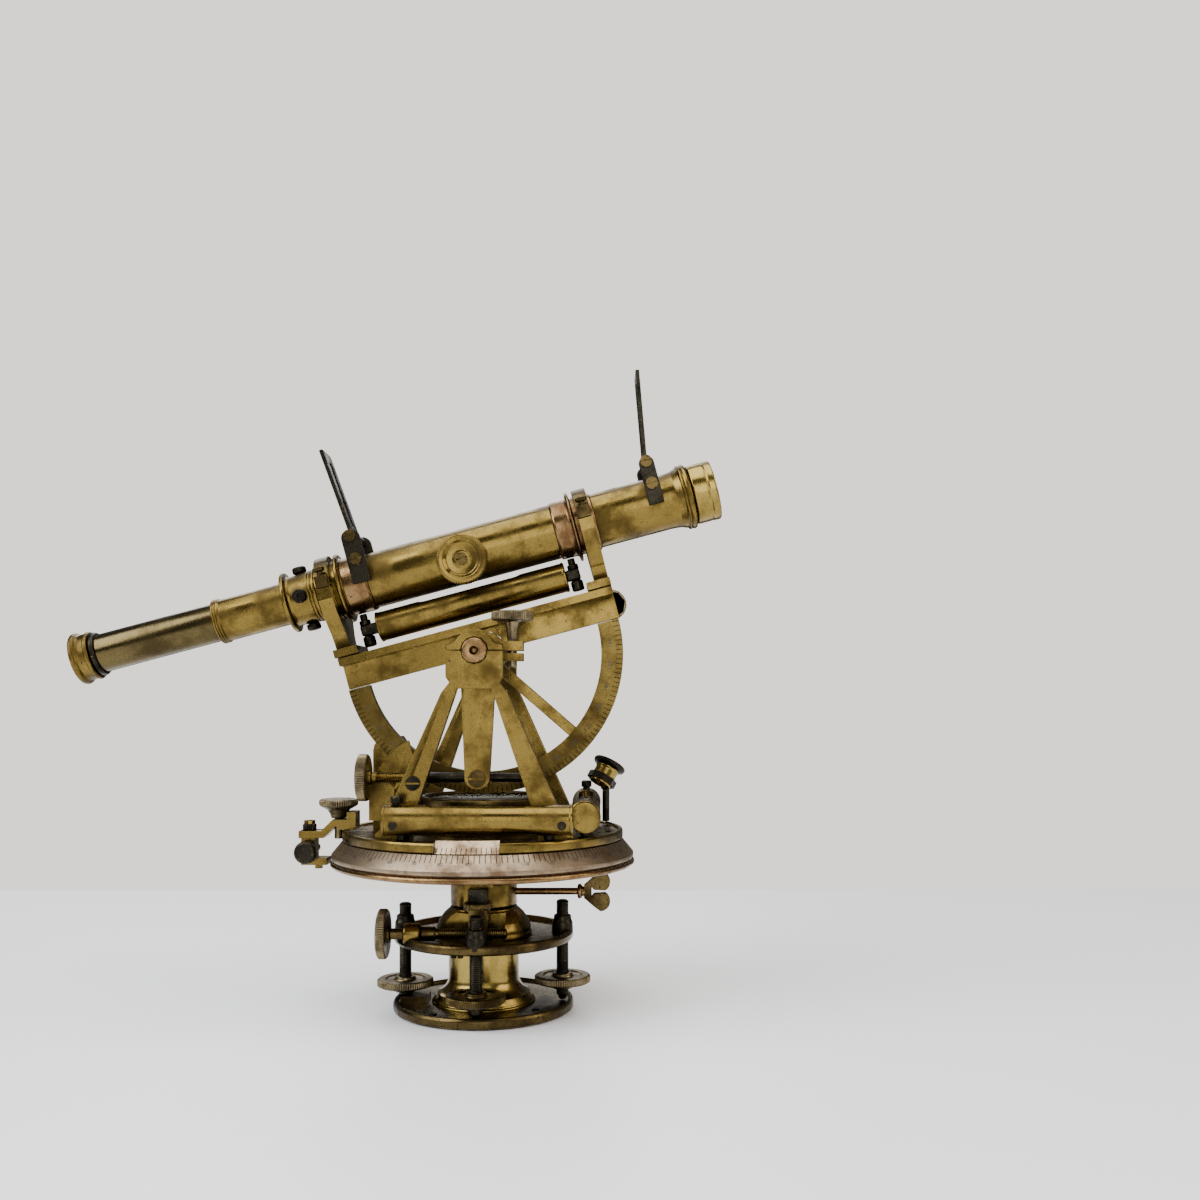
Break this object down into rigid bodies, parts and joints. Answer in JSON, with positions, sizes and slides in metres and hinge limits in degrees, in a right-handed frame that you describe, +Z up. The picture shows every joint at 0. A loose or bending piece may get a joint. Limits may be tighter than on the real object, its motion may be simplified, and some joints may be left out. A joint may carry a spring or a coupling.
{
  "type": "theodolite",
  "caption": "Antique brass surveying theodolite: telescope in two wyes over a vertical arc, silvered horizontal circle and four-screw levelling base.",
  "frame": {"origin": "centre of the foot plate's underside", "axes": "+Z up, +X towards the objective end of the telescope, -Y towards the scales' reading side"},
  "size_m": [0.242, 0.1122, 0.236],
  "materials": {
    "lacquered_brass": "old lacquered brass, satin, browned in the corners",
    "polished_brass": "bright turned brass with small dark specks",
    "tarnished_brass": "brass with brown and green tarnish",
    "coppery_brass": "brass gone pink where the lacquer wore off",
    "silvered_brass": "silvered brass scale with engraved divisions",
    "blackened_bronze": "chemically blackened bronze",
    "knurled_bronze": "dark bronzed screw head with knurled edge",
    "steel": "dark polished steel",
    "clear_glass": "clear glass"
  },
  "bodies": {
    "foot": {"foot_plate": "tarnished_brass", "ball_cup": "polished_brass"},
    "ball": {"levelling_ball": "tarnished_brass"},
    "levelling_head": {"upper_plate": "lacquered_brass", "axis_sleeve": "lacquered_brass"},
    "screw_left": {"levelling_screw_left": "blackened_bronze"},
    "screw_right": {"levelling_screw_right": "blackened_bronze"},
    "screw_front": {"levelling_screw_front": "blackened_bronze"},
    "screw_rear": {"levelling_screw_rear": "blackened_bronze"},
    "knob_left": {"levelling_knob_left": "knurled_bronze"},
    "knob_right": {"levelling_knob_right": "knurled_bronze"},
    "knob_front": {"levelling_knob_front": "knurled_bronze"},
    "knob_rear": {"levelling_knob_rear": "knurled_bronze"},
    "lower_tangent": {"lower_tangent_screw": "knurled_bronze"},
    "clamp_collar": {"clamp_collar": "lacquered_brass"},
    "lower_clamp": {"lower_clamp_screw": "tarnished_brass"},
    "limb": {"limb_plate": "silvered_brass", "outer_axis": "lacquered_brass"},
    "alidade": {"vernier_plate": "lacquered_brass", "inner_axis": "steel", "front_vernier": "silvered_brass", "front_standard": "lacquered_brass", "rear_standard": "lacquered_brass", "front_bearing_cap": "lacquered_brass", "rear_bearing_cap": "lacquered_brass", "front_level": "lacquered_brass", "front_vial": "clear_glass", "side_level": "lacquered_brass", "side_vial": "clear_glass", "compass_box": "tarnished_brass", "compass_glass": "clear_glass", "upper_clamp_lug": "lacquered_brass", "vernier_bracket": "tarnished_brass"},
    "needle": {"compass_needle": "steel"},
    "upper_clamp": {"upper_clamp_screw": "knurled_bronze"},
    "upper_tangent": {"upper_tangent_screw": "blackened_bronze"},
    "microscope": {"microscope_arm": "blackened_bronze", "microscope_barrel": "lacquered_brass"},
    "clamp_arm": {"vertical_clamp_arm": "tarnished_brass"},
    "vertical_clamp": {"vertical_clamp_screw": "knurled_bronze"},
    "vertical_tangent": {"vertical_tangent_screw": "knurled_bronze"},
    "elevation": {"trunnion_axle": "coppery_brass", "vertical_arc": "lacquered_brass", "stage_bar": "lacquered_brass", "left_wye": "lacquered_brass", "right_wye": "lacquered_brass"},
    "left_clip": {"left_clip": "tarnished_brass"},
    "right_clip": {"right_clip": "tarnished_brass"},
    "telescope": {"main_tube": "lacquered_brass", "reticle_housing": "lacquered_brass", "reticle": "blackened_bronze", "telescope_level": "lacquered_brass", "telescope_vial": "clear_glass"},
    "focus": {"focus_knob": "lacquered_brass"},
    "objective": {"sunshade": "polished_brass", "objective_lens": "clear_glass"},
    "eyepiece": {"eyepiece_tube": "tarnished_brass", "eyepiece_cap": "lacquered_brass"},
    "rear_sight": {"rear_sight": "blackened_bronze"},
    "front_sight": {"front_sight": "blackened_bronze"}
  },
  "joints": [
    {"name": "tilt_x", "type": "hinge", "parent": "foot", "child": "ball", "pos_m": [0, 0, 0.0145], "axis": [1, 0, 0], "range_deg": [-2.5, 2.5]},
    {"name": "tilt_y", "type": "hinge", "parent": "ball", "child": "levelling_head", "pos_m": [0, 0, 0.0145], "axis": [0, 1, 0], "range_deg": [-2.5, 2.5]},
    {"name": "screw_travel_left", "type": "slide", "parent": "levelling_head", "child": "screw_left", "axis": [0, 0, 1], "range_m": [-0.0014, 0.0014]},
    {"name": "screw_travel_right", "type": "slide", "parent": "levelling_head", "child": "screw_right", "axis": [0, 0, 1], "range_m": [-0.0014, 0.0014]},
    {"name": "screw_travel_front", "type": "slide", "parent": "levelling_head", "child": "screw_front", "axis": [0, 0, 1], "range_m": [-0.0014, 0.0014]},
    {"name": "screw_travel_rear", "type": "slide", "parent": "levelling_head", "child": "screw_rear", "axis": [0, 0, 1], "range_m": [-0.0014, 0.0014]},
    {"name": "knob_turn_left", "type": "hinge", "parent": "screw_left", "child": "knob_left", "pos_m": [-0.0293, 0, 0.009], "axis": [0, 0, 1], "range_deg": [-470, 470]},
    {"name": "knob_turn_right", "type": "hinge", "parent": "screw_right", "child": "knob_right", "pos_m": [0.0293, 0, 0.009], "axis": [0, 0, 1], "range_deg": [-470, 470]},
    {"name": "knob_turn_front", "type": "hinge", "parent": "screw_front", "child": "knob_front", "pos_m": [0, -0.0293, 0.009], "axis": [0, 0, 1], "range_deg": [-470, 470]},
    {"name": "knob_turn_rear", "type": "hinge", "parent": "screw_rear", "child": "knob_rear", "pos_m": [0, 0.0293, 0.009], "axis": [0, 0, 1], "range_deg": [-470, 470]},
    {"name": "lower_slow_motion", "type": "hinge", "parent": "levelling_head", "child": "clamp_collar", "pos_m": [0, 0, 0.043], "axis": [0, 0, 1], "range_deg": [-2, 2]},
    {"name": "lower_tangent_turn", "type": "hinge", "parent": "levelling_head", "child": "lower_tangent", "pos_m": [-0.034, -0.0175, 0.0307], "axis": [1, 0, 0], "range_deg": [-445, 445]},
    {"name": "lower_clamp_turn", "type": "hinge", "parent": "clamp_collar", "child": "lower_clamp", "pos_m": [0.036, 0, 0.0432], "axis": [1, 0, 0], "range_deg": [0, 90]},
    {"name": "lower_motion", "type": "hinge", "parent": "clamp_collar", "child": "limb", "pos_m": [0, 0, 0.043], "axis": [0, 0, 1], "continuous": true},
    {"name": "upper_motion", "type": "hinge", "parent": "limb", "child": "alidade", "pos_m": [0, 0, 0.0635], "axis": [0, 0, 1], "continuous": true},
    {"name": "needle_swing", "type": "hinge", "parent": "alidade", "child": "needle", "pos_m": [0, 0, 0.0735], "axis": [0, 0, 1], "continuous": true},
    {"name": "upper_clamp_turn", "type": "hinge", "parent": "alidade", "child": "upper_clamp", "pos_m": [-0.0531, -0.005, 0.076], "axis": [0, 0, 1], "range_deg": [0, 90]},
    {"name": "upper_tangent_turn", "type": "hinge", "parent": "alidade", "child": "upper_tangent", "pos_m": [-0.0638, -0.01, 0.059], "axis": [0, 1, 0], "range_deg": [-360, 360]},
    {"name": "microscope_swing", "type": "hinge", "parent": "alidade", "child": "microscope", "pos_m": [0.0456, 0.021, 0.075], "axis": [0, 0, 1], "range_deg": [-20, 25]},
    {"name": "vertical_slow_motion", "type": "hinge", "parent": "alidade", "child": "clamp_arm", "pos_m": [0, -0.0197, 0.1316], "axis": [0, 1, 0], "range_deg": [-1.5, 1.5]},
    {"name": "vertical_clamp_turn", "type": "hinge", "parent": "clamp_arm", "child": "vertical_clamp", "pos_m": [0.012, -0.0197, 0.1445], "axis": [0, 0, 1], "range_deg": [0, 90]},
    {"name": "vertical_tangent_turn", "type": "hinge", "parent": "alidade", "child": "vertical_tangent", "pos_m": [-0.042, -0.0145, 0.0865], "axis": [1, 0, 0], "range_deg": [-550, 550]},
    {"name": "elevation", "type": "hinge", "parent": "alidade", "child": "elevation", "pos_m": [0, 0, 0.1316], "axis": [0, -1, 0], "range_deg": [-55, 25]},
    {"name": "left_clip_hinge", "type": "hinge", "parent": "elevation", "child": "left_clip", "pos_m": [-0.05739, 0.0137, 0.15722], "axis": [-0.9659, 0, -0.2588], "range_deg": [0, 100]},
    {"name": "right_clip_hinge", "type": "hinge", "parent": "elevation", "child": "right_clip", "pos_m": [0.03747, 0.0137, 0.18264], "axis": [-0.9659, 0, -0.2588], "range_deg": [0, 100]},
    {"name": "telescope_roll", "type": "hinge", "parent": "elevation", "child": "telescope", "pos_m": [-0.00963, 0, 0.16753], "axis": [0.9659, 0, 0.2588], "range_deg": [-18, 18]},
    {"name": "focus_turn", "type": "hinge", "parent": "telescope", "child": "focus", "pos_m": [-0.00644, -0.015, 0.16528], "axis": [0, 1, 0], "range_deg": [0, 229]},
    {"name": "objective_travel", "type": "slide", "parent": "telescope", "child": "objective", "axis": [0.9659, 0, 0.2588], "range_m": [0, 0.01]},
    {"name": "eyepiece_travel", "type": "slide", "parent": "telescope", "child": "eyepiece", "axis": [0.9659, 0, 0.2588], "range_m": [-0.004, 0.006]},
    {"name": "rear_sight_fold", "type": "hinge", "parent": "telescope", "child": "rear_sight", "pos_m": [-0.04765, 0, 0.17422], "axis": [0, 1, 0], "range_deg": [0, 90]},
    {"name": "front_sight_fold", "type": "hinge", "parent": "telescope", "child": "front_sight", "pos_m": [0.06, 0, 0.20131], "axis": [0, 1, 0], "range_deg": [-95, 0]}
  ],
  "couplings": [
    {"joint": "screw_travel_front", "follows": "tilt_x", "m_per_rad": 0.0293},
    {"joint": "screw_travel_rear", "follows": "tilt_x", "m_per_rad": -0.0293},
    {"joint": "screw_travel_right", "follows": "tilt_y", "m_per_rad": 0.0293},
    {"joint": "screw_travel_left", "follows": "tilt_y", "m_per_rad": -0.0293},
    {"joint": "knob_turn_front", "follows": "tilt_x", "ratio": 184.1},
    {"joint": "knob_turn_rear", "follows": "tilt_x", "ratio": -184.1},
    {"joint": "knob_turn_right", "follows": "tilt_y", "ratio": 184.1},
    {"joint": "knob_turn_left", "follows": "tilt_y", "ratio": -184.1},
    {"joint": "lower_tangent_turn", "follows": "lower_slow_motion", "ratio": 220},
    {"joint": "vertical_slow_motion", "follows": "vertical_tangent_turn", "ratio": 0.00265},
    {"joint": "focus_turn", "follows": "objective_travel", "rad_per_m": 399}
  ]
}
